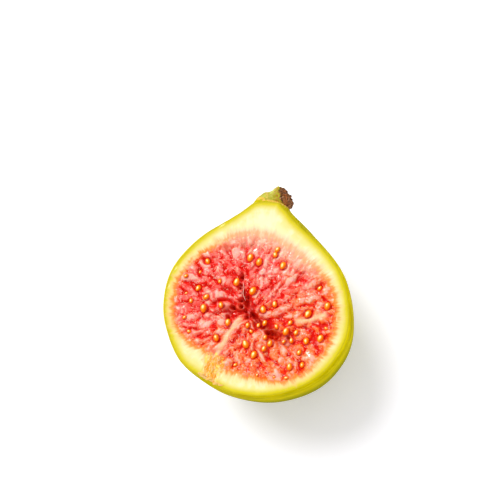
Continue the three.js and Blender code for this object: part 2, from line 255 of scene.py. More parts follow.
class FigColours(bpy.types.PropertyGroup):
    """Colours of skin, flesh, pulp, seeds and stem"""

    skin: colour_prop("Skin", "Yellow-green of the skin", 204, 186, 0)
    skin_pale: colour_prop("Skin streaks", "Paler streaks that run from stem to eye", 226, 208, 10)
    # Low down on the skin this deeper green is painted shade; in bands and round the neck it is the skin's
    # own deeper green
    skin_deep: colour_prop("Skin shade", "Deeper green in bands, low down and round the neck", 138, 136, 0)
    skin_blush: colour_prop("Skin blush", "Warm blush on the skin", 214, 176, 12)
    flesh_edge: colour_prop("Cut edge", "Yellow-green line of the cut skin", 190, 174, 0)
    flesh_rim: colour_prop("Flesh rim", "Bright yellow of the wall beside the skin", 214, 197, 12)
    flesh: colour_prop("Flesh", "Cream of the cut wall", 234, 220, 134)
    flesh_pale: colour_prop("Pale flesh", "Palest cream, in the thick wall below the stem", 240, 230, 172)
    flesh_milky: colour_prop("Milky flesh", "Nearly white patches of the cut wall", 244, 234, 196)
    flesh_peach: colour_prop("Peach", "Peach fibres where the wall meets the pulp", 244, 196, 124)
    crown_pink: colour_prop("Crown pink", "Pale pink fibres at the top of the pulp", 250, 196, 160)
    flesh_orange: colour_prop("Orange line", "Orange spots round the pulp", 244, 132, 30)
    eye_yellow: colour_prop("Eye yellow", "Warm yellow of the fibres at the eye", 250, 208, 84)
    eye_orange: colour_prop("Eye orange", "Orange of the fibres at the eye", 242, 150, 16)
    strip: colour_prop("Strips", "Peach-pink of the smooth strips across the pulp", 255, 206, 160)
    # Darkest red painted as shade in the slit and pits of the heart, and a darker red round its lines
    heart: colour_prop("Heart", "Darkest red, in the slit and pits of the heart", 186, 14, 2)
    # Crimson painted as shade: in the creases, at the lobes' edges, in the seeds' grooves and where the
    # lobes are least lit
    pulp_crease_shade: colour_prop("Pulp crease", "Crimson of the creases", 222, 14, 4)
    # Red and orange-red on the lobes' sides are painted shade where the surface faces away from up;
    # elsewhere they are the lobes' own red
    pulp: colour_prop("Pulp", "Red of the lobes' sides", 236, 44, 34)
    pulp_warm: colour_prop("Warm pulp", "Orange-red of the lobes' sides away from the stem", 244, 60, 10)
    pulp_pink: colour_prop("Pulp pink", "Pink of the lobes", 248, 104, 94)
    pulp_salmon: colour_prop("Pulp salmon", "Salmon of the lobes away from the stem", 252, 124, 66)
    # Pale pink painted as a highlight on the lobes' tops; on the threads and the fine lines it is their own
    # colour
    pulp_pale_and_highlight: colour_prop("Pulp pale", "Pale pink of the lobes' tops", 255, 196, 176)
    seed: colour_prop("Seed", "Golden orange of the seeds", 250, 118, 2)
    # On the seeds the gold of the upper sides is painted light, the pale yellow tops a painted highlight and
    # the red-orange sides painted shade; their own colour is the golden orange
    seed_lit_gold: colour_prop("Seed gold", "Gold of the seeds' upper sides", 252, 152, 20)
    seed_highlight: colour_prop("Seed pale", "Pale yellow of the seeds' tops", 255, 222, 150)
    seed_side_shade: colour_prop("Seed rim", "Red-orange of the seeds' sides", 236, 80, 0)
    stem: colour_prop("Stem", "Green of the stub of stem", 172, 162, 20)
    stem_pale: colour_prop("Pale stem", "Pale green spots on the stub", 196, 204, 70)
    scar: colour_prop("Scar", "Peach of the scar round the stub and of the eye's scales", 240, 186, 96)
    rust: colour_prop("Rust", "Red-brown specks beside the cork and on the scales", 178, 84, 36)
    cork: colour_prop("Cork", "Brown of the corky end", 158, 102, 50)
    cork_dark: colour_prop("Cork cracks", "Dark brown in the cork's cracks", 84, 44, 16)
    cork_pale: colour_prop("Cork crust", "Pale brown on the cork's lumps", 206, 152, 108)


class FigStage(bpy.types.PropertyGroup):
    """Floor, light and lens"""

    floor: colour_prop("Floor", "Near-white floor", 248, 247, 252)
    floor_glow: strength_prop("Floor glow", "Light of the table itself, which softens shadows", 0.26)
    key_strength: strength_prop("Key light", "Strength of the large soft light", 2.35)
    glint_strength: strength_prop("Glint light", "Strength of the small light that makes wet glints", 3.6)
    fill_strength: strength_prop("Fill", "Strength of the light from all round", 0.66)
    mirror_strength: strength_prop("Reflected studio", "Brightness of the studio in reflections", 0.07)
    lens: bpy.props.FloatProperty(
        name="Lens", description="Focal length of the camera", default=180, min=1, subtype="DISTANCE_CAMERA")


def smoothstep(value, start, end):
    """0 before start and 1 after end, with a soft slope between."""
    share = np.clip((value - start) / (end - start), 0, 1)
    return share * share * (3 - 2 * share)


def lerp(start, end, share):
    return start + (end - start) * share


def hump(distance, width):
    """1 at no distance, fading softly to nothing at about twice the width."""
    return np.exp(-((distance / width) ** 2))


def wave(turn):
    """0 at the start of a turn and 1 half a turn on."""
    return 0.5 - 0.5 * np.cos(turn)


def soft_noise(x, y, size, seed):
    """Smooth noise from -1 to 1, with bumps about size apart."""
    lattice = np.random.RandomState(seed).uniform(-1, 1, (64, 64))
    column, row = np.floor(x / size).astype(int), np.floor(y / size).astype(int)
    across, up = smoothstep(x / size - column, 0, 1), smoothstep(y / size - row, 0, 1)
    corners = [[lattice[(column + i) % 64, (row + j) % 64] for i in (0, 1)] for j in (0, 1)]
    low, high = [lerp(start, end, across) for start, end in corners]
    return lerp(low, high, up)


class SmoothLine:
    """Smooth curve through given points, read by the share of its length."""

    def __init__(self, points, closed=False):
        points = np.array(points, float)
        before = points[-1:] if closed else 2 * points[:1] - points[1:2]
        after = points[:2] if closed else 2 * points[-1:] - points[-2:-1]
        chain = np.vstack([before, points, after])
        pieces = [self.between(*chain[i:i + 4]) for i in range(len(chain) - 3)]
        self.line = np.vstack(pieces + [chain[-2:-1]])
        self.length = np.append(0, np.cumsum(np.linalg.norm(np.diff(self.line, axis=0), axis=1)))

    def between(self, before, start, end, after, steps=40):
        """Points from start up to, but without, end."""
        stretches = ((before, start), (start, end), (end, after))
        first, own, last = [max(np.linalg.norm(b - a), 1e-9) ** 0.5 for a, b in stretches]
        leave = (start - before) / first - (end - before) / (first + own) + (end - start) / own
        arrive = (end - start) / own - (after - start) / (own + last) + (after - end) / last
        t = np.linspace(0, 1, steps, endpoint=False)[:, None]
        return (
            (2 * t**3 - 3 * t**2 + 1) * start + (t**3 - 2 * t**2 + t) * leave * own
            + (3 * t**2 - 2 * t**3) * end + (t**3 - t**2) * arrive * own
        )

    def at(self, share):
        along = np.asarray(share) * self.length[-1]
        return np.stack([np.interp(along, self.length, axis) for axis in self.line.T], -1)


def distance_to_line(x, y, points):
    """Distance of each place to the nearest stretch of a line through points."""
    nearest = np.full(np.shape(x), np.inf)
    for (start_x, start_y), (end_x, end_y) in zip(points, points[1:]):
        span_x, span_y = end_x - start_x, end_y - start_y
        along = ((x - start_x) * span_x + (y - start_y) * span_y) / (span_x**2 + span_y**2)
        share = np.clip(along, 0, 1)
        away = np.hypot(x - start_x - span_x * share, y - start_y - span_y * share)
        nearest = np.minimum(nearest, away)
    return nearest


# Places on the cut face

left_side = SmoothLine(LEFT_SIDE)
right_side = SmoothLine(RIGHT_SIDE)
pulp_edge = SmoothLine(PULP_EDGE, closed=True)


def round_middle(reach, heading):
    """Place at a distance and heading from the middle of the pulp."""
    return PULP_MIDDLE[0] + reach * np.cos(heading), PULP_MIDDLE[1] + reach * np.sin(heading)


def from_heart(x, y):
    """Heading and distance from the heart of the pulp."""
    return np.arctan2(y - HEART[1], x - HEART[0]), np.hypot(x - HEART[0], y - HEART[1])


def pulp_edge_radius(heading):
    """Distance from the middle of the pulp to its edge, for headings in radians."""
    spokes = pulp_edge.at(np.linspace(0, 1, 1440, endpoint=False)) - PULP_MIDDLE
    headings = np.arctan2(spokes[:, 1], spokes[:, 0])
    order = np.argsort(headings)
    radii = np.linalg.norm(spokes, axis=1)[order]
    return np.interp(heading, headings[order], radii, period=2 * math.pi)


def distance_inside_pulp(x, y):
    """Distance from the edge of the pulp, positive inside it."""
    across, up = x - PULP_MIDDLE[0], y - PULP_MIDDLE[1]
    return pulp_edge_radius(np.arctan2(up, across)) - np.hypot(across, up)


def crown_share(x, y):
    """1 in the pale, streaky part of the rim below the stem, 0 along the sides."""
    across, up = x - PULP_MIDDLE[0], y - PULP_MIDDLE[1]
    return smoothstep(up / np.hypot(across, np.maximum(abs(up), 1)), 0.45, 0.95)


def rim_share(x, y):
    """0 at the edge of the pulp and 1 where its soft fringe ends, below 0 in the flesh beyond."""
    inside = distance_inside_pulp(x, y)
    inner_width = lerp(SIDE_FRINGE, CROWN_FRINGE, crown_share(x, y))
    return inside / np.where(inside > 0, inner_width, OUTER_FRINGE)


def ragged_share(x, y):
    """The same share, made uneven along the edge."""
    return rim_share(x, y) + 0.3 * spoke_noise(x, y, 0.9, 16)


def spoke_place(x, y):
    """Place on a drum round the heart, so that noise there runs along the spokes without a seam."""
    heading, away = from_heart(x, y)
    drum = [DRUM_RADIUS * np.cos(heading), DRUM_RADIUS * np.sin(heading), away / SPOKE_STRETCH]
    return np.stack(drum, -1)


def spoke_noise(x, y, size, seed):
    """Noise that runs along the spokes."""
    drum = spoke_place(x, y)
    return soft_noise(drum[..., 0] + drum[..., 2], drum[..., 1] - drum[..., 2], size, seed)


def eye_share(x, y):
    """1 in the middle of the fibrous patch between pulp and eye, 0 outside it."""
    out = np.clip((EYE_PATCH_TOP - y) / EYE_PATCH_LENGTH, 0, 1)
    middle, wide = lerp(*EYE_PATCH_MIDDLES, out), lerp(*EYE_PATCH_WIDTHS, out)
    return hump((x - middle) / wide, 0.75) * smoothstep(y, *EYE_PATCH_FADE)


def face_marks(x, y):
    """Marks that the finishes of flesh and pulp share, so that they meet without a step."""
    return {
        "rim": rim_share(x, y), "crown": crown_share(x, y), "eye": eye_share(x, y),
        "spoke": spoke_place(x, y),
    }


# Meshes

def quads(index):
    """Faces between neighbouring rows and columns of a grid of point numbers."""
    corners = index[:-1, :-1], index[1:, :-1], index[1:, 1:], index[:-1, 1:]
    return np.stack(corners, -1).reshape(-1, 4).tolist()


def fan(row, tip):
    """Faces between the neighbours in a row of point numbers and one more point."""
    return [[int(a), int(b), tip] for a, b in zip(row, row[1:])]


def closed_rows(index):
    """The same grid with its first column repeated at the end."""
    return np.hstack([index, index[:, :1]])


def capped(rings, start, end):
    """Points and faces of a closed body made of rings of points, with a point at each end."""
    count = rings.shape[0] * rings.shape[1]
    index = closed_rows(np.arange(count).reshape(rings.shape[:2]))
    points = np.vstack([rings.reshape(-1, 3), [start, end]])
    return points, quads(index) + fan(index[0], count) + fan(index[-1], count + 1)


def ball_rows(rows, sides):
    """Points and faces of a ball of radius 1, with its poles on X."""
    dip = math.pi * np.arange(1, rows)[:, None] / rows
    turn = 2 * math.pi * np.arange(sides) / sides
    rings = np.stack([np.cos(dip) + 0 * turn, np.sin(dip) * np.cos(turn), np.sin(dip) * np.sin(turn)], -1)
    return capped(rings, (1, 0, 0), (-1, 0, 0))


def round_path(path, turn):
    """Directions ahead along a path and outward from it, the second for each turn round it."""
    ahead = np.gradient(path, axis=0)
    ahead /= np.linalg.norm(ahead, axis=1)[:, None]
    across = np.cross(ahead, [0, 0, 1.0])
    across /= np.linalg.norm(across, axis=1)[:, None]
    above = np.cross(across, ahead)
    return ahead, across[:, None] * np.cos(turn)[:, None] + above[:, None] * np.sin(turn)[:, None]


def tube(path, radii, sides):
    """Points and faces of a closed tube round a path."""
    outward = round_path(path, 2 * math.pi * np.arange(sides) / sides)[1]
    return capped(path[:, None] + radii[:, None, None] * outward, path[0], path[-1])


def bowl_rows(rim, first, top, depth):
    """Rows of points that close in from a rim round the pulp towards the bottom of a bowl."""
    rows = []
    for dip in math.pi / 2 * np.arange(first, BOWL_STEPS) / BOWL_STEPS:
        flat = PULP_MIDDLE + (rim - PULP_MIDDLE) * math.cos(dip)
        rows.append(np.column_stack([flat, np.full(len(flat), -top - depth * math.sin(dip))]))
    return rows


def ringed(first_row, count, start):
    """Point numbers of a closed first row and of count rows like it, which are numbered from start on."""
    more = start + np.arange(count * len(first_row)).reshape(count, -1)
    return closed_rows(np.vstack([first_row, more]))


def padded(values, count, rest=0.0, start=0):
    """Values of the points from start on, with rest at the others of count points."""
    mark = np.full((count, *values.shape[1:]), rest)
    mark[start:start + len(values)] = values
    return mark


def join(bodies):
    """Points, faces and marks of many small bodies together. Each is given by points, faces and tone."""
    points, faces, tones, start = [], [], [], 0
    for body, body_faces, tone in bodies:
        points.append(body)
        faces += [[corner + start for corner in face] for face in body_faces]
        tones.append(np.full(len(body), tone))
        start += len(body)
    return np.vstack(points), faces, {"tone": np.concatenate(tones)}


def place_in_frame(points):
    """Metres in the frame, from millimetres with the cut plane at z = 0."""
    lowest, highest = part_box("rind")
    own = np.vstack([left_side.line, right_side.line])
    shift = np.array([lowest.x, lowest.y, highest.z]) - np.array([*own.min(0), 0]) * MM
    return points * MM + shift


def put_in_scene(name, data):
    made = bpy.data.objects.new(name, data)
    bpy.context.scene.collection.objects.link(made)
    return made


def make_piece(name, slot, nodes, points, faces, marks, materials, second=()):
    """Closed mesh that rides on the fig. second holds the faces that take the second material."""
    mesh = bpy.data.meshes.new(name)
    mesh.from_pydata(place_in_frame(points).tolist(), [], faces + list(second))
    for material in materials:
        mesh.materials.append(material)
    mesh.polygons.foreach_set("material_index", [0] * len(faces) + [1] * len(second))
    mesh.polygons.foreach_set("use_smooth", [True] * len(mesh.polygons))
    for label, values in marks.items():
        vector = np.ndim(values) == 2
        mark = mesh.attributes.new(label, "FLOAT_VECTOR" if vector else "FLOAT", "POINT")
        mark.data.foreach_set("vector" if vector else "value", np.ravel(values).astype(np.float32))
    welded = bmesh.new()
    welded.from_mesh(mesh)
    bmesh.ops.remove_doubles(welded, verts=welded.verts, dist=2e-7)
    bmesh.ops.recalc_face_normals(welded, faces=welded.faces)
    welded.to_mesh(mesh)
    welded.free()
    piece = put_in_scene(name, mesh)
    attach(piece, "root")
    if nodes:
        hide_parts(*nodes)


# Rind

def skin_veins(turn, share, half, height):
    """Fine veins that run along the fig, with a slow unevenness."""
    around = turn * 10
    fine = soft_noise(around * 2.1, share * 5, 1.0, 3) + 0.6 * soft_noise(around * 5.3, share * 9, 1.0, 4)
    slow = soft_noise(around * 0.35, share * 4, 1.0, 5)
    return smoothstep(half, 2, 10) * (height * fine + 2.2 * height * slow)


def skin_grid(shares, across, shape):
    """Points of the skin, with the turn of each and, row by row, the left edge's turn past the widest line.

    Rows run from the neck to the eye, columns from the right cut edge round the back to the left."""
    left, right = left_side.at(shares), right_side.at(shares)
    middle = (left + right) / 2
    half = np.linalg.norm(right - left, axis=1)[:, None] / 2
    along = (right - left) / (2 * half)
    up = middle[:, 1:2]
    bend = smoothstep(up, NECK_DROP_START, NECK_DROP_END)
    drop = lerp(BELLY_DROP, NECK_DROP, bend) - NECK_END_RISE * smoothstep(up, *NECK_END)
    flank = drop + FLANK_DROP * hump(up - FLANK_PLACE, FLANK_LENGTH) * (1 - smoothstep(up, *FLANK_FADE))
    roundness = lerp((BACK_DEPTH - BELLY_DROP) / half.max(), 1, bend)
    opening_left, opening_right = [
        np.arcsin(np.minimum(1, low / (half * roundness))) for low in (drop, flank)]
    turn = -opening_right + (math.pi + opening_left + opening_right) * across
    reach = half - shape.rib_depth / MM * smoothstep(half, 5, 18) * wave(RIBS_AROUND * turn)
    reach = reach + skin_veins(turn, shares[:, None], half, shape.vein_depth / MM)
    depth = -lerp(flank, drop, wave(turn)) - reach * roundness * np.sin(turn)
    edge = shape.edge_round / MM
    into_edge = np.clip(depth + edge, 0, edge)
    reach = reach - (edge - np.sqrt(edge**2 - into_edge**2)) * np.abs(np.cos(turn))
    x = middle[:, 0:1] + along[:, 0:1] * reach * np.cos(turn)
    y = up + along[:, 1:2] * reach * np.cos(turn)
    z = REST_SOFTNESS * np.logaddexp(0, (depth + FACE_HEIGHT) / REST_SOFTNESS) - FACE_HEIGHT
    eye_dent = EYE_DENT * hump(x - EYE_DENT_PLACE, EYE_DENT_WIDTH)
    eye_dent = eye_dent * smoothstep(-y, 18, 22) * smoothstep(z, -2.6, 0)
    past_neck = np.maximum(NECK_TIP_AHEAD[0] * x + NECK_TIP_AHEAD[1] * y - NECK_TIP_REACH, 0)
    blunt = NECK_BLUNTING * past_neck * smoothstep(z, -2.2, 0)
    inward = 1 - (eye_dent + blunt) / np.hypot(x - PULP_MIDDLE[0], y - PULP_MIDDLE[1])
    x, y = lerp(PULP_MIDDLE[0], x, inward), lerp(PULP_MIDDLE[1], y, inward)
    return np.stack([x, y, np.minimum(z, 0)], -1), turn, opening_left[:, 0]


def cut_relief(x, y, from_skin):
    """Height of the cut flesh: nearly flat, with soft fibres that run to the pulp."""
    near = smoothstep(rim_share(x, y), -2.2, -0.3)
    waves = 0.05 * soft_noise(x, y, 2.6, 8) + 0.03 * soft_noise(x, y, 1.1, 9)
    fibres = 0.07 * near * spoke_noise(x, y, 0.7, 7)
    outside = smoothstep(-distance_inside_pulp(x, y), -0.6, 0.6)
    strands = 0.4 * eye_share(x, y) * soft_noise(x, 0.4 * y, 0.55, 10) * outside
    under_fringe = FLESH_DIP * smoothstep(ragged_share(x, y), 0.25, 1.0)
    return (waves + fibres + strands) * smoothstep(from_skin, 0.1, 0.9) - under_fringe


def nearest_distance(points, others, batch=2000):
    """Distance of each point to the nearest of others."""
    found = np.empty(len(points))
    for start in range(0, len(points), batch):
        gaps = points[start:start + batch, None, :] - others[None, :, :]
        found[start:start + batch] = np.sqrt((gaps**2).sum(-1).min(1))
    return found


def make_rind(shape, colours):
    """Skin, cut flesh and the bowl under the pulp, as one closed cup."""
    rings, columns, rows = 250, 230, 40
    shares = wave(math.pi * (np.arange(rings) + 0.5) / rings)
    spread = np.linspace(0, 1, columns)
    skin, turn, opening = skin_grid(shares, lerp(spread, wave(math.pi * spread), 0.75), shape)
    skin, turn = skin.reshape(-1, 3), turn.ravel()
    side = np.arange(len(skin)).reshape(rings, columns)
    cut = np.nonzero(opening < math.pi / 2 - 1e-4)[0]
    first, last = cut[0] - 1, cut[-1] + 1
    loop = np.concatenate([side[first:last + 1, 0], side[first + 1:last, -1][::-1]])

    outer = skin[loop, :2]
    spokes = outer - PULP_MIDDLE
    heading = np.arctan2(spokes[:, 1], spokes[:, 0])
    inner = np.column_stack(round_middle(pulp_edge_radius(heading) - FLESH_UNDERLAP, heading))
    flat = np.vstack([lerp(outer, inner, share) for share in wave(math.pi * np.arange(1, rows + 1) / rows)])
    from_skin = nearest_distance(flat, outer)
    flesh = np.column_stack([flat, cut_relief(*flat.T, from_skin)])

    ends = [(*PULP_MIDDLE, -HOLLOW_TOP - PULP_DEPTH), (*LEFT_SIDE[0], -NECK_DROP), (*EYE, -BELLY_DROP)]
    points = np.vstack([skin, flesh, *bowl_rows(inner, 0, HOLLOW_TOP, PULP_DEPTH), ends])
    count = len(points)
    face = ringed(loop, rows + BOWL_STEPS, len(skin))
    flesh_faces = quads(face) + fan(face[-1], count - 3)
    skin_faces = quads(side) + fan(side[0], count - 2) + fan(side[-1], count - 1)

    x, y, z = points.T
    along_skin = np.stack([10 * np.cos(turn), 10 * np.sin(turn), 3.5 * np.repeat(shares, columns)], -1)
    marks = {
        "from_skin": padded(from_skin, count, start=len(skin)), "vein": padded(along_skin, count),
        "neck": smoothstep(y, *NECK_GREEN), "low": smoothstep(-z, *LOW_SHADE),
        "collar": hump(y - COLLAR_PLACE, COLLAR_WIDTH), **face_marks(x, y),
    }
    finishes = [skin_finish(colours), flesh_finish(colours)]
    make_piece("rind_skin_and_flesh", "rind", ["rind"], points, skin_faces, marks, finishes, flesh_faces)


# Pulp

def place_seeds(shape):
    """Places, turns, sizes and tones of the seeds, with small ones half lost in the pulp's edge."""
    draw = np.random.RandomState(shape.draw_seed + 1)
    seeds = [(x, y, draw.normal(1.6, 0.35), size, draw.uniform(0, 1)) for x, y, size in SEED_PLACES]
    for index in range(EDGE_SEED_TRIES):
        heading, away = 2.4 * index + 0.5, draw.uniform(0.82, 0.97)
        x, y = round_middle(away * pulp_edge_radius(heading), heading)
        turn, size, tone = draw.uniform(0, math.pi), draw.uniform(0.35, 0.6), draw.uniform(0, 1)
        gap = min(math.hypot(x - seed[0], y - seed[1]) for seed in seeds)
        if y < EDGE_SEED_TOP and gap > EDGE_SEED_GAP:
            seeds.append((x, y, turn, size, tone))
    return seeds


class PulpRelief:
    """Height and shade of the cut pulp: soft wet lobes round a dark heart, with pockets for the seeds."""

    def __init__(self, shape):
        draw = np.random.RandomState(shape.draw_seed)
        height, count = shape.floret_height / MM, shape.floret_count
        self.heart_depth = shape.cleft_depth / MM
        self.lobes = self.scatter(draw, count, (3.6, 7.2), (1.9, 3.4), height, 0.45, 0.07)
        self.folds = self.scatter(draw, 3 * count, (1.6, 3.6), (0.6, 1.2), 0.2 * height, 0.9, 0.3)
        self.creases = self.radial_creases(draw)
        self.pits = self.heart_pits(draw)
        self.seeds = place_seeds(shape)
        places = np.array([seed[:2] for seed in self.seeds])
        self.grounds = np.minimum(self.florets(*places.T)[0], 0.15) - 0.2

    def scatter(self, draw, count, lengths, widths, height, sway, bend):
        """Lobes spread by the golden angle, each lying along a spoke from the heart."""
        index = np.arange(count)
        heading = index * GOLDEN_ANGLE
        share = LOBES_REACH * np.sqrt((index + 0.5) / count)
        x, y = round_middle(pulp_edge_radius(heading) * share, heading)
        x = x + draw.uniform(-LOBES_SHIFT, LOBES_SHIFT, count)
        y = y + draw.uniform(-LOBES_SHIFT, LOBES_SHIFT, count)
        spoke, away = from_heart(x, y)
        spoke = spoke + draw.uniform(-sway, sway, count)
        smaller = lerp(0.6, 1, smoothstep(away, 1, 9))
        return np.stack([
            x, y, spoke, smaller * draw.uniform(*lengths, count), smaller * draw.uniform(*widths, count),
            height * draw.uniform(0.4, 1.0, count), draw.uniform(-bend, bend, count),
            draw.uniform(-0.4, 0.4, count), draw.uniform(0, 1, count),
        ], -1)

    def radial_creases(self, draw):
        """Short bent creases that run out from the heart."""
        creases, steps = [], np.linspace(0, 1, 6)
        for index in range(CREASE_COUNT):
            heading = index * GOLDEN_ANGLE + draw.uniform(-0.3, 0.3)
            start, length = draw.uniform(1.5, 9), draw.uniform(3, 8)
            along = start + length * steps
            sway = heading + draw.uniform(-0.7, 0.7) * steps**2 + draw.uniform(-0.06, 0.06, len(steps))
            creases.append(HEART + np.stack([along * np.cos(sway), along * np.sin(sway)], -1))
        return creases

    def heart_pits(self, draw):
        """Small deep pits scattered along the heart's lines."""
        pits = []
        for line, count in ((SLIT, 12), (BRANCH, 5), (CREVICE, 7)):
            for share in (np.arange(count) + 0.5) / count:
                x, y = SmoothLine(line).at(share) + draw.normal(0, 0.8, 2)
                pits.append((x, y, draw.uniform(0.25, 0.6)))
        return pits

    def swells(self, x, y, layer, melt):
        """Top of a layer of lobes that melt into each other, with the shade and crest of the highest one."""
        top, shade, crest = np.zeros(len(x)), np.full(len(x), 0.5), np.zeros(len(x))
        for place_x, place_y, spoke, length, width, height, bend, lean, tone in layer:
            near = np.nonzero((abs(x - place_x) < 0.6 * length) & (abs(y - place_y) < 0.6 * length))[0]
            if not len(near):
                continue
            gap_x, gap_y = x[near] - place_x, y[near] - place_y
            along = gap_x * math.cos(spoke) + gap_y * math.sin(spoke)
            aside = gap_y * math.cos(spoke) - gap_x * math.sin(spoke) - bend * (along**2 - 0.1 * length)
            swell = np.clip(1 - (2 * along / length) ** 2 - (2 * aside / width) ** 2, 0, 1)
            level = height * swell**0.8 * (1 + lean * 2 * along / length)
            before = top[near]
            wins = level > before
            shade[near[wins]], crest[near[wins]] = tone, swell[wins]
            meet = np.clip(melt - abs(level - before), 0, melt) * (level > 0)
            top[near] = np.maximum(level, before) + meet**2 / (4 * melt)
        return top, shade, crest

    def florets(self, x, y):
        """Height, shade and crest of the lobes with the finer folds on them."""
        warp_x = x + 0.5 * soft_noise(x, y, 2.1, 11) + 0.14 * soft_noise(x, y, 0.7, 12)
        warp_y = y + 0.5 * soft_noise(x, y, 2.1, 13) + 0.14 * soft_noise(x, y, 0.7, 14)
        lobes, shade, crest = self.swells(warp_x, warp_y, self.lobes, 0.1)
        folds, fold_shade, fold_crest = self.swells(warp_x, warp_y, self.folds, 0.05)
        patchy = lerp(0.35, 1.1, smoothstep(soft_noise(x, y, 3.1, 19), -0.5, 0.4))
        height = lobes + folds * patchy - LOBES_SUNK
        return height, 0.8 * shade + 0.2 * fold_shade, 0.75 * crest + 0.25 * fold_crest

    def hollows(self, x, y, ragged):
        """1 in the slit and in the pits of the heart, 0 away from them."""
        hollow = hump(np.maximum(distance_to_line(x, y, SLIT) + 0.6 * ragged, 0), SLIT_WIDTH)
        for pit_x, pit_y, width in self.pits:
            away = np.hypot(x - pit_x, y - pit_y) + 0.4 * ragged
            hollow = np.maximum(hollow, hump(np.maximum(away, 0), width))
        return hollow

    def press_pockets(self, x, y, height, hollow):
        """Presses a pocket into the height for each seed, and gives 1 along the pockets' edges."""
        pocket = np.zeros(len(x))
        for (seed_x, seed_y, _, size, _), ground in zip(self.seeds, self.grounds):
            away = np.hypot(x - seed_x, y - seed_y) / size
            near = away < 3
            height[near] = lerp(height[near], ground - 0.5 * hollow[near], hump(away[near], 1.1))
            ring = hump(away[near] - 1.0, POCKET_RING)
            height[near] -= POCKET_GROOVE * ring
            pocket[near] = np.maximum(pocket[near], ring)
        return pocket

    def at(self, x, y):
        """Height in millimetres, then shade, crest, hollow, strip and pocket from 0 to 1."""
        height, shade, crest = self.florets(x, y)
        ragged = 0.5 * soft_noise(x, y, 1.3, 15) + 0.3 * soft_noise(x, y, 0.6, 17)
        hollow = self.hollows(x, y, ragged)
        to_heart = np.min([distance_to_line(x, y, line) for line in (SLIT[2:], BRANCH, CREVICE)], axis=0)
        strip = sum(
            hump(distance_to_line(x, y, line) + 0.25 * ragged, STRIP_WIDTH) for line in PALE_STRIPS)
        height = lerp(height, 0.05 + 0.25 * height, 0.85 * strip)
        for crease in self.creases:
            to_crease = distance_to_line(x, y, crease) + 0.3 * ragged
            height = height - CREASE_DEPTH * hump(to_crease, CREASE_WIDTH) * (1 - strip)
        height = height * (1 - 0.3 * hollow) - self.heart_depth * hollow
        height = height - HEART_SINK * hump(to_heart, HEART_SINK_WIDTH)
        pocket = self.press_pockets(x, y, height, hollow)
        share = ragged_share(x, y)
        hairs = 0.06 * spoke_noise(x, y, 0.45, 18) * hump(share - 0.5, 0.7)
        height = lerp(hairs, height, smoothstep(share, 0.4, 1.3))
        height = height - FRINGE_DROP * smoothstep(0.35 - share, 0, 1)
        # Broad zone round the heart's lines, where the finish paints a darker red
        hollow = np.maximum(hollow, 0.7 * hump(to_heart + ragged, HEART_SHADE_WIDTH))
        return height, shade, crest, hollow, strip, pocket


def soften(heights, times):
    """Takes the finest jags off a grid of heights."""
    for _ in range(times):
        for axis in (0, 1):
            ahead, behind = np.roll(heights, 1, axis), np.roll(heights, -1, axis)
            heights = 0.25 * ahead + 0.5 * heights + 0.25 * behind
    return heights


def disc_grid(side):
    """Share of the way out and heading of each point of a square grid rounded to a disc.

    side is even, so that no point lies on an axis."""
    spread = np.linspace(-1, 1, side)
    across, up = np.meshgrid(spread, spread)
    wide = abs(across) >= abs(up)
    slope = np.where(wide, up / across, across / up) * math.pi / 4
    heading = np.where(wide, slope, math.pi / 2 - slope)
    heading = heading + np.where(np.where(wide, across, up) < 0, math.pi, 0)
    return np.maximum(abs(across), abs(up)).ravel(), heading.ravel()


def make_pulp(shape, colours):
    """Cut face of the pulp, closed by a bowl below."""
    side = 288
    share, heading = disc_grid(side)
    x, y = round_middle((pulp_edge_radius(heading) + PULP_OVERLAP) * share, heading)
    height, shade, crest, hollow, strip, pocket = PulpRelief(shape).at(x, y)
    height = soften(height.reshape(side, side), 1)
    # raised, the height over its softened self, sets the painted light and shade of the lobes
    raised = (height - soften(height, 60)).ravel()
    top = np.column_stack([x, y, height.ravel()])
    index = np.arange(side * side).reshape(side, side)
    border = np.concatenate([index[0, :-1], index[:-1, -1], index[-1, :0:-1], index[:0:-1, 0]])
    bowl = bowl_rows(top[border, :2], 1, PULP_SHOULDER, PULP_DEPTH - PULP_SHOULDER)
    points = np.vstack([top, *bowl, [(*PULP_MIDDLE, -PULP_DEPTH)]])
    count = len(points)
    under = ringed(border, BOWL_STEPS - 1, len(top))
    faces = quads(index) + quads(under) + fan(under[-1], count - 1)
    x, y = points[:, :2].T
    marks = {
        "raised": padded(raised, count), "hollow": padded(hollow, count), "pocket": padded(pocket, count),
        "strip": padded(strip, count), "shade": padded(shade, count, 0.5),
        "crest": padded(crest, count, 0.5), "warm": 0.5 + WARM_SLOPE * (x - y), **face_marks(x, y),
    }
    make_piece("pulp_florets", "pulp", ["pulp"], points, faces, marks, [pulp_finish(colours)])


def make_seeds(shape, colours):
    """Plump seeds with one blunt and one pointed end, each half sunk in its pocket."""
    relief = PulpRelief(shape)
    draw = np.random.RandomState(shape.draw_seed + 2)
    ball, faces = ball_rows(16, 20)
    bodies = []
    for x, y, turn, size, tone in relief.seeds:
        long, wide = size * shape.seed_length / MM / 2, size * shape.seed_width / MM / 2
        body = ball * (long, wide, wide)
        body[:, 1:] *= 1 - 0.12 * ball[:, 0:1] - 0.06 * ball[:, 0:1] ** 2
        dents = soft_noise(ball[:, 0] * 3 + 9 * tone, ball[:, 1] * 3 + ball[:, 2] * 2, 1.0, 21)
        body *= 1 + 0.03 * dents[:, None]
        turned = Matrix.Rotation(turn + draw.choice([0, math.pi]), 3, "Z")
        tilt = turned @ Matrix.Rotation(draw.uniform(-0.4, 0.2), 3, "Y")
        height = relief.at(np.array([x]), np.array([y]))[0][0]
        bodies.append((body @ np.array(tilt).T + (x, y, height + SEED_STANDS * wide), faces, tone))
    make_piece("seeds", "pulp", [], *join(bodies), [seed_finish(colours)])


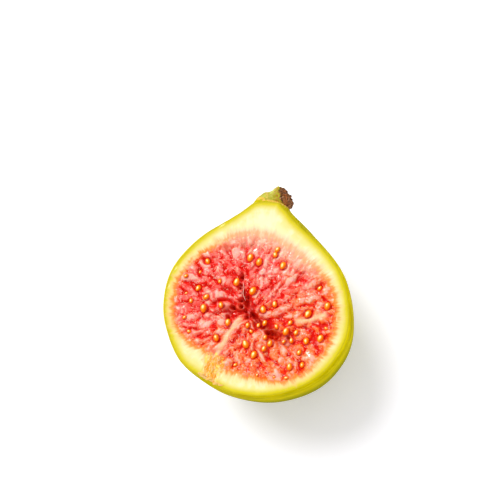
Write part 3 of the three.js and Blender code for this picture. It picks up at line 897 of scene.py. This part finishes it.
def make_threads(shape, colours):
    """Thin pale threads: one stands in the slit of the heart, the others curl over the lobes."""
    relief = PulpRelief(shape)
    draw = np.random.RandomState(shape.draw_seed + 3)
    steps = 18
    routes = [SmoothLine(SLIT_THREAD).at(np.linspace(0, 1, steps))]
    for index in range(shape.thread_count):
        heading = index * GOLDEN_ANGLE
        share = 0.9 * math.sqrt((index + 0.5) / shape.thread_count)
        x, y = round_middle(share * pulp_edge_radius(heading), heading)
        x, y = x + draw.uniform(-1, 1), y + draw.uniform(-1, 1)
        course = from_heart(x, y)[0] + draw.uniform(-0.9, 0.9)
        curl, length = draw.uniform(-1.1, 1.1), draw.uniform(0.9, 1.7)
        along = np.linspace(-0.5, 0.5, steps) * length
        aside = curl * along**2 / 2
        flat_x = x + along * math.cos(course) - aside * math.sin(course)
        flat_y = y + along * math.sin(course) + aside * math.cos(course)
        routes.append(np.column_stack([flat_x, flat_y]))
    bodies = []
    for index, route in enumerate(routes):
        height = np.convolve(np.pad(relief.at(*route.T)[0], 2, "edge"), np.ones(5) / 5, "valid")
        if index == 0:
            height = np.maximum(height, SLIT_THREAD_LOW)
        radius = draw.uniform(0.06, 0.1)
        path = np.column_stack([route, height + 0.5 * radius])
        taper = radius * (0.25 + 0.75 * np.sin(math.pi * np.linspace(0.04, 0.96, steps)) ** 0.5)
        bodies.append((*tube(path, taper, 7), draw.uniform(0, 1)))
    make_piece("pulp_threads", "pulp", [], *join(bodies), [thread_finish(colours)])


# Stem and eye

def make_stem(shape, colours):
    """Stub that bends out of the neck, with a scar round its foot and a lumpy, corky cut end."""
    sides, steps, cap_rows = 96, 90, 18
    share = np.linspace(0, 1, steps)[:, None]
    turn = 2 * math.pi * np.arange(sides) / sides
    path = SmoothLine(STEM_ROUTE).at(share[:, 0])
    ahead, outward = round_path(path, turn)
    lumps = soft_noise(np.cos(turn) * 2.6 + 7, np.sin(turn) * 2.6 + 9 * share, 0.9, 31)
    fine = soft_noise(turn * 5, 26 * share, 0.9, 32)
    slant = 0.07 * np.cos(turn)
    corky = smoothstep(share + slant + 0.04 * lumps, 0.91, 0.98)
    radius = shape.stem_radius / MM + 0.25 * smoothstep(share, 0.7, 0.9)
    radius = radius - 0.45 * smoothstep(share, 0.93, 1.0)
    ribs = 0.1 * np.cos(7 * turn + 0.6) + 0.06 * np.cos(13 * turn + 2.0)
    scar = hump(share - 0.5 - 0.02 * lumps, 0.035)
    foot = smoothstep(0.66 - share, 0, 0.28) * smoothstep(share, 0.08, 0.32) * wave(turn) ** 2
    reach = radius + ribs * (1 - corky) + 0.12 * scar + STEM_FLARE * foot
    reach = reach + (0.1 + 0.28 * corky) * lumps + (0.02 + 0.14 * corky) * fine
    oblique = STEM_OBLIQUE * wave(turn)
    wall = path[:, None] + reach[..., None] * outward
    wall = wall - (smoothstep(share, 0.6, 1.0) * oblique)[..., None] * ahead[:, None]

    inward = 1 - np.arange(1, cap_rows)[:, None] / cap_rows
    bulge = 0.3 * (1 - inward**2) - 0.5 * hump(inward - 0.55, 0.2)
    pits = 0.35 * soft_noise(np.cos(turn) * inward * 3.1 + 3, np.sin(turn) * inward * 3.1, 0.7, 33)
    lift = bulge + pits - lerp(STEM_OBLIQUE / 2, oblique, inward)
    cap = path[-1] + (reach[-1] * inward)[..., None] * outward[-1] + lift[..., None] * ahead[-1]
    points, faces = capped(np.concatenate([wall, cap]), path[0], path[-1] - 0.1 * ahead[-1])

    along = np.concatenate([share + slant, 1 + 0.3 * (1 - inward) + 0 * turn]).ravel()
    along = np.append(along, [0, 1.3])
    turns = np.append(np.tile(turn, steps + cap_rows - 1), [0, 0])
    marks = {"along": along, "round": np.stack([2 * np.cos(turns), 2 * np.sin(turns), 0.5 * along], -1)}
    make_piece("stem_stub", "stem", ["stem"], points, faces, marks, [stem_finish(colours)])


def make_eye_scales(shape, colours):
    """Small dry scales that close the mouth of the eye, in a loose row along the cut edge."""
    draw = np.random.RandomState(shape.draw_seed + 4)
    ball, faces = ball_rows(8, 12)
    start, end = np.array(SCALE_ROW)
    outward = math.atan2(start[0] - end[0], end[1] - start[1])
    bodies = []
    for index in range(SCALE_COUNT):
        place = lerp(start, end, (index + 0.5) / SCALE_COUNT) + draw.uniform(-0.3, 0.3, 2)
        body = ball * SCALE_SIZE * draw.uniform(0.6, 1.1)
        body[:, 2] += 0.3 * (ball[:, 0] * SCALE_SIZE[0]) ** 2
        heading = -outward + math.pi / 2 + draw.normal(0, 0.35)
        tilt = Matrix.Rotation(heading, 3, "Z") @ Matrix.Rotation(draw.uniform(-0.3, 0.3), 3, "Y")
        body = body @ np.array(tilt).T + (*place, draw.uniform(-0.15, 0.1))
        bodies.append((body, faces, draw.uniform(0, 1)))
    make_piece("eye_scales", "rind", [], *join(bodies), [scale_finish(colours)])


# Materials

class Value:
    """A number that runs through a material's nodes, so that its maths reads as plain arithmetic."""

    def __init__(self, finish, socket):
        self.finish = finish
        self.socket = socket

    def __add__(self, other):
        return self.finish.maths("ADD", self, other)

    def __sub__(self, other):
        return self.finish.maths("SUBTRACT", self, other)

    def __rsub__(self, other):
        return self.finish.maths("SUBTRACT", other, self)

    def __mul__(self, other):
        return self.finish.maths("MULTIPLY", self, other)

    __radd__ = __add__
    __rmul__ = __mul__

    def rise(self, start, end):
        """0 below start and 1 above end, with a soft slope between."""
        sockets = {"Value": self, "From Min": start, "From Max": end}
        return self.finish.value("MapRange", {"interpolation_type": "SMOOTHSTEP"}, sockets)


class Finish:
    """One material, or the world's glow, built node by node."""

    def __init__(self, name, home=bpy.data.materials):
        self.data = home.new(name)
        self.data.use_nodes = True
        self.tree = self.data.node_tree
        self.tree.nodes.clear()

    def node(self, kind, settings=None, sockets=None, output=None):
        """Adds a node: its settings first, then the values or links of its sockets."""
        made = self.tree.nodes.new("ShaderNode" + kind)
        for name, setting in (settings or {}).items():
            setattr(made, name, setting)
        in_use = {socket.name: socket for socket in made.inputs if socket.enabled}
        for name, given in (sockets or {}).items():
            socket = made.inputs[name] if isinstance(name, int) else in_use[name]
            given = given.socket if isinstance(given, Value) else given
            if isinstance(given, bpy.types.NodeSocket):
                self.tree.links.new(given, socket)
            else:
                socket.default_value = (*given, 1) if socket.type == "RGBA" else given
        if output:
            return made.outputs[output]
        return next((socket for socket in made.outputs if socket.enabled), None)

    def value(self, *node):
        return Value(self, self.node(*node))

    def maths(self, operation, first, second):
        return self.value("Math", {"operation": operation}, {0: first, 1: second})

    def mark(self, label):
        """A number kept with each point of the mesh."""
        return self.value("Attribute", {"attribute_name": label}, {}, "Fac")

    def place(self, label, stretch=(1, 1, 1)):
        """A place kept with each point of the mesh, or its place in the frame in millimetres."""
        if label == "frame":
            where = self.node("TexCoord", output="Object")
            stretch = tuple(value / MM for value in stretch)
        else:
            where = self.node("Attribute", {"attribute_name": label}, output="Vector")
        return self.node("VectorMath", {"operation": "MULTIPLY"}, {0: where, 1: stretch})

    def upward(self):
        """1 where the surface faces up, 0 where it stands upright."""
        return self.value("SeparateXYZ", {}, {"Vector": self.node("NewGeometry", output="Normal")}, "Z")

    def noise(self, label, size, detail, rough, warp=0.0, stretch=(1, 1, 1)):
        """Cloudy noise with spots about size apart, over the places that label names."""
        sockets = {"Vector": self.place(label, stretch), "Scale": 1 / size, "Detail": detail,
                   "Roughness": rough, "Distortion": warp}
        return self.value("TexNoise", {}, sockets, "Fac")

    def cells(self, label, size):
        """Distance to the nearest of many points that lie about size apart."""
        sockets = {"Vector": self.place(label), "Scale": 1 / size}
        return self.value("TexVoronoi", {"feature": "F1"}, sockets, "Distance")

    def blend(self, share, start, end):
        """Colour between two colours."""
        return self.node("Mix", {"data_type": "RGBA"}, {"Factor": share, "A": start, "B": end})

    def layers(self, colour, *coats):
        """A colour under coats of others, each given by its share and its colour."""
        for share, coat in coats:
            colour = self.blend(share, colour, coat)
        return colour

    def bump(self, height, distance):
        return self.node("Bump", {}, {"Height": height, "Distance": distance * MM, "Strength": 1.0})

    def shader(self, colour, rough, relief, specular=0.5, soft=None, coat=(), glow=0):
        """Shader of a surface.

        soft gives the weight, colour and millimetres of the light that soaks in, coat the weight,
        roughness and index of refraction of the wet film, and glow the strength of a painted glow in the
        surface's own colour."""
        sockets = {
            "Base Color": colour, "Roughness": rough, "Normal": relief, "Specular IOR Level": specular,
            **dict(zip(("Coat Weight", "Coat Roughness", "Coat IOR"), coat)),
        }
        if soft:
            weight, tint, depth = soft
            sockets.update({
                "Subsurface Weight": weight, "Subsurface Radius": tint, "Subsurface Scale": depth * MM})
        if glow:
            sockets.update({"Emission Color": colour, "Emission Strength": glow})
        return self.node("BsdfPrincipled", {}, sockets)

    def surface(self, shader):
        self.node("OutputMaterial", {}, {"Surface": shader})
        return self.data


def skin_finish(colours):
    """Smooth yellow-green skin with fine paler streaks and tiny pale dots."""
    finish = Finish("fig_skin")
    streaks = finish.noise("vein", 0.3, 3, 0.6)
    bands = finish.noise("vein", 1.1, 2, 0.5)
    broad = finish.noise("frame", 9, 2, 0.5)
    mottle = finish.noise("frame", 2.2, 3, 0.55)
    fine = finish.noise("frame", 0.5, 3, 0.6)
    dots = 0.16 - finish.cells("frame", 1.5)
    collar = finish.mark("collar") + 2.5 * (fine - 0.5)
    colour = finish.layers(
        colours.skin,
        (0.8 * (bands + 0.5 * broad).rise(0.68, 0.98), colours.skin_deep),
        (0.7 * (streaks + 0.3 * mottle).rise(0.6, 0.85), colours.skin_pale),
        (0.35 * finish.mark("neck"), colours.skin_deep),
        # Darker green low down: painted shade
        (0.92 * finish.mark("low"), colours.skin_deep),
        (0.5 * dots.rise(0.0, 0.07), colours.skin_pale),
        (0.3 * broad.rise(0.56, 0.75), colours.skin_blush),
        (0.7 * collar.rise(0.5, 0.9), colours.scar),
    )
    return finish.surface(finish.shader(
        colour, 0.4 + 0.14 * fine, finish.bump(streaks * 0.6 + fine * 0.4, 0.14), specular=0.0,
        soft=(0.1, (0.9, 0.7, 0.1), 0.8), coat=(0.06, 0.35, THIN_FILM)))


def across_rim(finish, flesh, pulp, colours):
    """Colour across the soft border of the pulp, the same on the flesh's side and on the pulp's side."""
    fibres = finish.noise("spoke", 0.6, 4, 0.7)
    broad = finish.noise("spoke", 1.7, 2, 0.5)
    patches = finish.noise("frame", 2.4, 2, 0.5)
    crown = finish.mark("crown")
    where = finish.mark("rim") + 1.9 * (fibres - 0.5) + 1.1 * (broad - 0.5)
    peach = finish.blend(crown, colours.flesh_peach, colours.crown_pink)
    orange = where.rise(-0.5, 0.1) * patches.rise(0.25, 0.5) * (1 - 0.55 * crown)
    near = (1 - where.rise(0.4, 1.3)) * (1 - crown)
    pale = where.rise(-0.1, 0.4) * (1 - where.rise(0.8, 1.7)) * crown
    flesh = finish.layers(flesh, (0.9 * where.rise(-1.3, 0.0), peach), (0.9 * orange, colours.flesh_orange))
    pulp = finish.layers(pulp, (0.4 * near, colours.flesh_orange), (0.5 * pale, colours.crown_pink))
    return finish.blend(where.rise(0.05, 0.6), flesh, pulp)


def eye_patch(finish, colour, colours):
    """Frayed peach, yellow and orange fibres between pulp and eye."""
    eye = finish.mark("eye")
    strands = finish.noise("frame", 0.5, 3, 0.6, 0.6, (1, 0.35, 1))
    patches = finish.noise("frame", 1.5, 2, 0.5)
    threads = finish.noise("frame", 0.42, 2, 0.5, 1.5, (1, 0.3, 1))
    where = eye * (1 + 3.0 * (strands - 0.5))
    inside = eye.rise(0.1, 0.4)
    return finish.layers(
        colour,
        (0.9 * where.rise(0.2, 0.5), colours.flesh_peach),
        (0.8 * (where + 2.5 * (0.5 - patches)).rise(0.6, 0.9) * inside, colours.eye_yellow),
        (0.95 * (where + 2.8 * (patches - 0.5)).rise(0.5, 0.8) * inside, colours.eye_orange),
        (0.75 * threads.rise(0.55, 0.62) * eye.rise(0.3, 0.6), colours.strip),
    )


def flesh_finish(colours):
    """Cream wall, yellow beside the skin and peach beside the pulp."""
    finish = Finish("cut_flesh")
    grain = finish.noise("frame", 0.7, 4, 0.6)
    broad = finish.noise("frame", 5, 2, 0.5)
    streaks = finish.noise("spoke", 1.3, 3, 0.6)
    fibres = finish.noise("spoke", 0.36, 3, 0.6)
    depth = finish.mark("from_skin") * (0.75 + 0.5 * broad) + 0.35 * (grain - 0.5)
    milky = (broad + 0.5 * (streaks - 0.5) + 0.3 * (grain - 0.5)).rise(0.42, 0.62)
    colour = finish.layers(
        colours.flesh_edge,
        (depth.rise(0.1, 0.6), colours.flesh_rim),
        (depth.rise(0.5, 2.0), colours.flesh),
        (depth.rise(1.6, 4.2), colours.flesh_pale),
        (0.6 * milky * depth.rise(1.4, 2.6), colours.flesh_milky),
    )
    colour = across_rim(finish, colour, colours.pulp_pink, colours)
    colour = eye_patch(finish, colour, colours)
    relief = finish.bump(fibres * 0.5 + grain * 0.5, 0.1)
    return finish.surface(finish.shader(
        colour, 0.36 + 0.2 * grain, relief, specular=0.05, coat=(0.1, 0.15)))


def pulp_finish(colours):
    """Wet lobes: crimson painted shade in the creases, red painted shade on the sides, pink, and a pale
    painted highlight on the crests.
    """
    finish = Finish("wet_pulp")
    fibres = finish.noise("spoke", 0.34, 3, 0.65)
    wisps = finish.noise("frame", 1.1, 1, 0.5, 1.2)
    fine = finish.noise("frame", 0.45, 1, 0.5, 1.0)
    clouds = finish.noise("frame", 3.4, 2, 0.5)
    curls = finish.noise("frame", 1.4, 1, 0.5, 1.6) - 0.5
    strip = finish.mark("strip")
    crest = finish.mark("crest") + 0.25 * (wisps - 0.5) + 0.12 * (fine - 0.5)
    # light is partly painted light and shade, brighter on raised spots and crests and darker in low spots
    # and at the lobes' edges, and partly the lobes' own random tone and noise
    light = 0.45 + 0.5 * finish.mark("raised") + 1.1 * (crest - 0.45)
    light = light + 0.85 * (finish.mark("shade") - 0.5) + 0.6 * (clouds - 0.5) + 0.55 * (wisps - 0.5)
    warm = (finish.mark("warm") + 0.8 * (clouds - 0.5)).rise(0.3, 0.9)
    red = finish.blend(warm, colours.pulp, colours.pulp_warm)
    pink = finish.blend(warm, colours.pulp_pink, colours.pulp_salmon)
    lines = (0.0025 - curls * curls).rise(0, 0.0025) * wisps.rise(0.42, 0.54)
    hollow = (finish.mark("hollow") + 0.5 * (wisps - 0.5)).rise(0.2, 0.9)
    colour = finish.layers(
        # Crimson where the painted light is lowest: painted shade
        colours.pulp_crease_shade,
        (light.rise(0.0, 0.3), red),
        (light.rise(0.2, 0.6), pink),
        # Pale pink on the brightest crests: painted highlight
        (0.75 * light.rise(0.7, 1.15), colours.pulp_pale_and_highlight),
        (0.7 * lines, colours.pulp_pale_and_highlight),
        # Red where the surface faces away from up: painted shade
        (0.85 * (1 - finish.upward().rise(0.5, 0.88)), red),
        # Crimson at the lobes' edges: painted shade in the creases
        (0.85 * (1 - crest.rise(0.04, 0.22)), colours.pulp_crease_shade),
        (0.9 * strip, colours.strip),
        # Crimson round each seed: painted shade in its groove
        (0.8 * finish.mark("pocket"), colours.pulp_crease_shade),
        # Darkest red in the slit and pits of the heart: painted shade; a darker red round its lines
        (0.85 * hollow, colours.heart),
    )
    flesh = finish.blend(0.5, colours.flesh, colours.flesh_pale)
    colour = across_rim(finish, flesh, colour, colours)
    colour = eye_patch(finish, colour, colours)
    wet_film = (0.12 + 0.9 * fine.rise(0.5, 0.62)) * (1 - 0.8 * strip)
    lobes = finish.shader(
        colour, 0.4 + 0.15 * fibres, finish.bump(wisps + 0.5 * fine + 0.3 * lines, 0.16), specular=0.04,
        soft=(0.6, (1.0, 0.12, 0.05), 1.0), coat=(wet_film, 0.1, THIN_FILM))
    fringe = finish.shader(
        colour, 0.4 + 0.2 * fibres, finish.bump(fibres, 0.15), specular=0.04, coat=(0.15, 0.15))
    wet = (finish.mark("rim") + 1.2 * (fibres - 0.5)).rise(0.5, 1.2)
    return finish.surface(finish.node("MixShader", {}, {0: wet, 1: fringe, 2: lobes}))


def seed_finish(colours):
    """Glossy golden seeds, with a painted highlight in pale yellow on top, painted shade in red-orange down
    the sides and a painted glow.
    """
    finish = Finish("golden_seed")
    clouds = finish.noise("frame", 0.6, 3, 0.6)
    # Lighter the more the surface faces up: painted light and shade, with a painted highlight on top
    top = finish.upward() + 0.12 * (clouds - 0.5) + 0.06 * (finish.mark("tone") - 0.5)
    colour = finish.layers(
        colours.seed_side_shade,
        (top.rise(0.0, 0.5), colours.seed),
        (top.rise(0.66, 0.9), colours.seed_lit_gold),
        (top.rise(0.9, 0.99), colours.seed_highlight),
    )
    # glow is a painted glow: the seeds give light in their own colour
    return finish.surface(finish.shader(
        colour, 0.2 + 0.12 * clouds, finish.bump(clouds, 0.05), specular=0.05,
        soft=(0.1, (1.0, 0.45, 0.05), 0.4), coat=(0.7, 0.16), glow=0.13))


def thread_finish(colours):
    """Pale, wet threads."""
    finish = Finish("pale_thread")
    clouds = finish.noise("frame", 0.9, 2, 0.5)
    pale = (finish.mark("tone") + 0.8 * (clouds - 0.5)).rise(0.2, 0.9)
    colour = finish.blend(pale, colours.pulp_pink, colours.pulp_pale_and_highlight)
    return finish.surface(finish.shader(
        colour, 0.2 + 0.1 * clouds, finish.bump(clouds, 0.04),
        soft=(0.4, (1.0, 0.5, 0.4), 0.5), coat=(0.6, 0.08)))


def stem_finish(colours):
    """Green stub with a peach scar, and brown cracked cork at its end."""
    finish = Finish("stem_and_cork")
    around = finish.noise("round", 0.9, 3, 0.6)
    grain = finish.noise("frame", 0.5, 4, 0.7)
    blots = finish.noise("frame", 1.6, 2, 0.5)
    where = finish.mark("along") + 0.22 * (around - 0.5) + 0.1 * (grain - 0.5)
    scar = where.rise(0.47, 0.5) * (1 - where.rise(0.52, 0.55)) * grain.rise(0.42, 0.55)
    green = finish.layers(
        colours.stem,
        (0.7 * (blots + 0.3 * grain).rise(0.6, 0.78), colours.stem_pale),
        (0.5 * scar, colours.scar),
        (0.7 * where.rise(0.62, 0.82) * grain.rise(0.45, 0.6), colours.rust),
    )
    cork = finish.layers(
        colours.cork_dark,
        ((grain + 0.7 * (blots - 0.5)).rise(0.4, 0.58), colours.cork),
        (0.8 * (around + 0.5 * (grain - 0.5)).rise(0.56, 0.7), colours.cork_pale),
        (0.6 * (0.5 * blots + 0.5 * grain).rise(0.5, 0.6), colours.rust),
    )
    colour = finish.blend(where.rise(0.91, 0.97), green, cork)
    return finish.surface(finish.shader(
        colour, 0.45 + 0.35 * where.rise(0.8, 0.9), finish.bump(grain, 0.2), specular=0.25,
        soft=(0.06, (0.8, 0.6, 0.2), 0.6)))


def scale_finish(colours):
    """Dry peach scales with rusty edges."""
    finish = Finish("eye_scale")
    grain = finish.noise("frame", 0.6, 3, 0.6)
    colour = finish.layers(
        colours.scar,
        ((finish.mark("tone") + 0.8 * (grain - 0.5)).rise(0.3, 0.9), colours.flesh_peach),
        (0.6 * grain.rise(0.55, 0.7), colours.rust),
    )
    return finish.surface(finish.shader(
        colour, 0.4 + 0.2 * grain, finish.bump(grain, 0.1), specular=0.3, soft=(0.25, (1.0, 0.6, 0.3), 0.5)))


# Stage

def make_floor(stage):
    """Wide, pale table that glows a little."""
    half = FLOOR_HALF
    mesh = bpy.data.meshes.new("floor")
    corners = [(-half, -half, 0), (half, -half, 0), (half, half, 0), (-half, half, 0)]
    mesh.from_pydata(corners, [], [(0, 1, 2, 3)])
    finish = Finish("pale_floor")
    dimmer = tuple(0.98 * value for value in stage.floor)
    colour = finish.blend(0.3 * finish.noise("frame", 40, 2, 0.5), stage.floor, dimmer)
    mesh.materials.append(finish.surface(finish.node("BsdfPrincipled", {}, {
        "Base Color": colour, "Roughness": 0.7, "Specular IOR Level": 0.2,
        "Emission Color": colour, "Emission Strength": stage.floor_glow,
    })))
    put_in_scene("floor", mesh)


def make_sun(name, towards, strength, spread):
    """Light from a direction given in the camera's right, up and towards-camera axes."""
    back = CAMERA_RIGHT.cross(CAMERA_UP)
    direction = towards[0] * CAMERA_RIGHT + towards[1] * CAMERA_UP + towards[2] * back
    data = bpy.data.lights.new(name, "SUN")
    data.energy = strength
    data.angle = math.radians(spread)
    light = put_in_scene(name, data)
    light.rotation_euler = direction.to_track_quat("Z", "Y").to_euler()
    return light


def make_world(stage):
    """White surroundings: white to look at, a soft fill as light, and dim in reflections."""
    glow = Finish("white_studio", bpy.data.worlds)
    bpy.context.scene.world = glow.data
    seen = glow.value("LightPath", {}, {}, "Is Camera Ray")
    glossy = glow.value("LightPath", {}, {}, "Is Glossy Ray")
    strength = stage.fill_strength + seen * (1 - stage.fill_strength)
    strength = strength - glossy * (stage.fill_strength - stage.mirror_strength)
    backdrop = glow.node("Background", {}, {"Color": (1, 1, 1), "Strength": strength})
    glow.node("OutputWorld", {}, {"Surface": backdrop})


def make_camera(stage):
    """Camera that looks down on the cut face at a slant, aimed beside its middle."""
    data = bpy.data.cameras.new("camera")
    data.lens = stage.lens
    data.sensor_width = SENSOR_WIDTH
    data.clip_start, data.clip_end = 0.01, 20
    right, up = CAMERA_RIGHT.normalized(), CAMERA_UP.normalized()
    face = Vector(place_in_frame(np.zeros(3)))
    aim = face + (CAMERA_AIM[0] * right + CAMERA_AIM[1] * up) * MM
    place = face + CAMERA_DISTANCE * right.cross(up)
    back = (place - aim).normalized()
    right = up.cross(back).normalized()
    up = back.cross(right)
    camera = put_in_scene("camera", data)
    camera.matrix_world = Matrix.Translation(place) @ Matrix((right, up, back)).transposed().to_4x4()
    bpy.context.scene.camera = camera


# Operators

class FIG_OT_rind(bpy.types.Operator):
    """Make the skin and the cut flesh under it, as one closed cup"""

    bl_idname = "fig.rind"
    bl_label = "Rind"
    bl_options = {"REGISTER", "UNDO"}

    def execute(self, context):
        make_rind(context.scene.fig_shape, context.scene.fig_colours)
        return {"FINISHED"}


class FIG_OT_pulp(bpy.types.Operator):
    """Make the wet pulp with its lobes"""

    bl_idname = "fig.pulp"
    bl_label = "Pulp"
    bl_options = {"REGISTER", "UNDO"}

    def execute(self, context):
        make_pulp(context.scene.fig_shape, context.scene.fig_colours)
        return {"FINISHED"}


class FIG_OT_seeds(bpy.types.Operator):
    """Make the golden seeds in their pockets"""

    bl_idname = "fig.seeds"
    bl_label = "Seeds"
    bl_options = {"REGISTER", "UNDO"}

    def execute(self, context):
        make_seeds(context.scene.fig_shape, context.scene.fig_colours)
        return {"FINISHED"}


class FIG_OT_threads(bpy.types.Operator):
    """Make the pale threads on the pulp"""

    bl_idname = "fig.threads"
    bl_label = "Threads"
    bl_options = {"REGISTER", "UNDO"}

    def execute(self, context):
        make_threads(context.scene.fig_shape, context.scene.fig_colours)
        return {"FINISHED"}


class FIG_OT_stem(bpy.types.Operator):
    """Make the stub of stem"""

    bl_idname = "fig.stem"
    bl_label = "Stem"
    bl_options = {"REGISTER", "UNDO"}

    def execute(self, context):
        make_stem(context.scene.fig_shape, context.scene.fig_colours)
        return {"FINISHED"}


class FIG_OT_eye(bpy.types.Operator):
    """Make the small scales of the eye"""

    bl_idname = "fig.eye"
    bl_label = "Eye scales"
    bl_options = {"REGISTER", "UNDO"}

    def execute(self, context):
        make_eye_scales(context.scene.fig_shape, context.scene.fig_colours)
        return {"FINISHED"}


class FIG_OT_stage(bpy.types.Operator):
    """Make the floor, the lights and the camera"""

    bl_idname = "fig.stage"
    bl_label = "Stage"
    bl_options = {"REGISTER", "UNDO"}

    def execute(self, context):
        stage = context.scene.fig_stage
        make_floor(stage)
        key = make_sun("key_light", KEY_FROM, stage.key_strength, KEY_SPREAD)
        key.visible_glossy = False
        glint = make_sun("glint_light", GLINT_FROM, stage.glint_strength, GLINT_SPREAD)
        glint.visible_diffuse = False
        make_world(stage)
        make_camera(stage)
        context.scene.view_settings.view_transform = "Standard"
        return {"FINISHED"}


OPERATORS = (
    FIG_OT_rind, FIG_OT_pulp, FIG_OT_seeds, FIG_OT_threads, FIG_OT_stem, FIG_OT_eye, FIG_OT_stage,
)
SETTINGS = {"fig_shape": FigShape, "fig_colours": FigColours, "fig_stage": FigStage}


class FIG_PT_panel(bpy.types.Panel):
    """Settings and pieces of the fig"""

    bl_idname = "FIG_PT_panel"
    bl_label = "Halved Fresh Fig"
    bl_space_type = "VIEW_3D"
    bl_region_type = "UI"
    bl_category = "Fig"

    def draw(self, context):
        for operator in OPERATORS:
            self.layout.operator(operator.bl_idname)
        for label, group in SETTINGS.items():
            box = self.layout.box()
            box.label(text=group.__doc__)
            for name in group.__annotations__:
                box.prop(getattr(context.scene, label), name)


CLASSES = (*SETTINGS.values(), *OPERATORS, FIG_PT_panel)


def register():
    for group in CLASSES:
        bpy.utils.register_class(group)
    for label, group in SETTINGS.items():
        setattr(bpy.types.Scene, label, bpy.props.PointerProperty(type=group))


def unregister():
    for label in SETTINGS:
        delattr(bpy.types.Scene, label)
    for group in reversed(CLASSES):
        bpy.utils.unregister_class(group)


def main():
    register()
    bpy.ops.fig.rind()
    bpy.ops.fig.pulp()
    bpy.ops.fig.seeds()
    bpy.ops.fig.threads()
    bpy.ops.fig.stem()
    bpy.ops.fig.eye()
    bpy.ops.fig.stage()


if __name__ == "__main__":
    main()
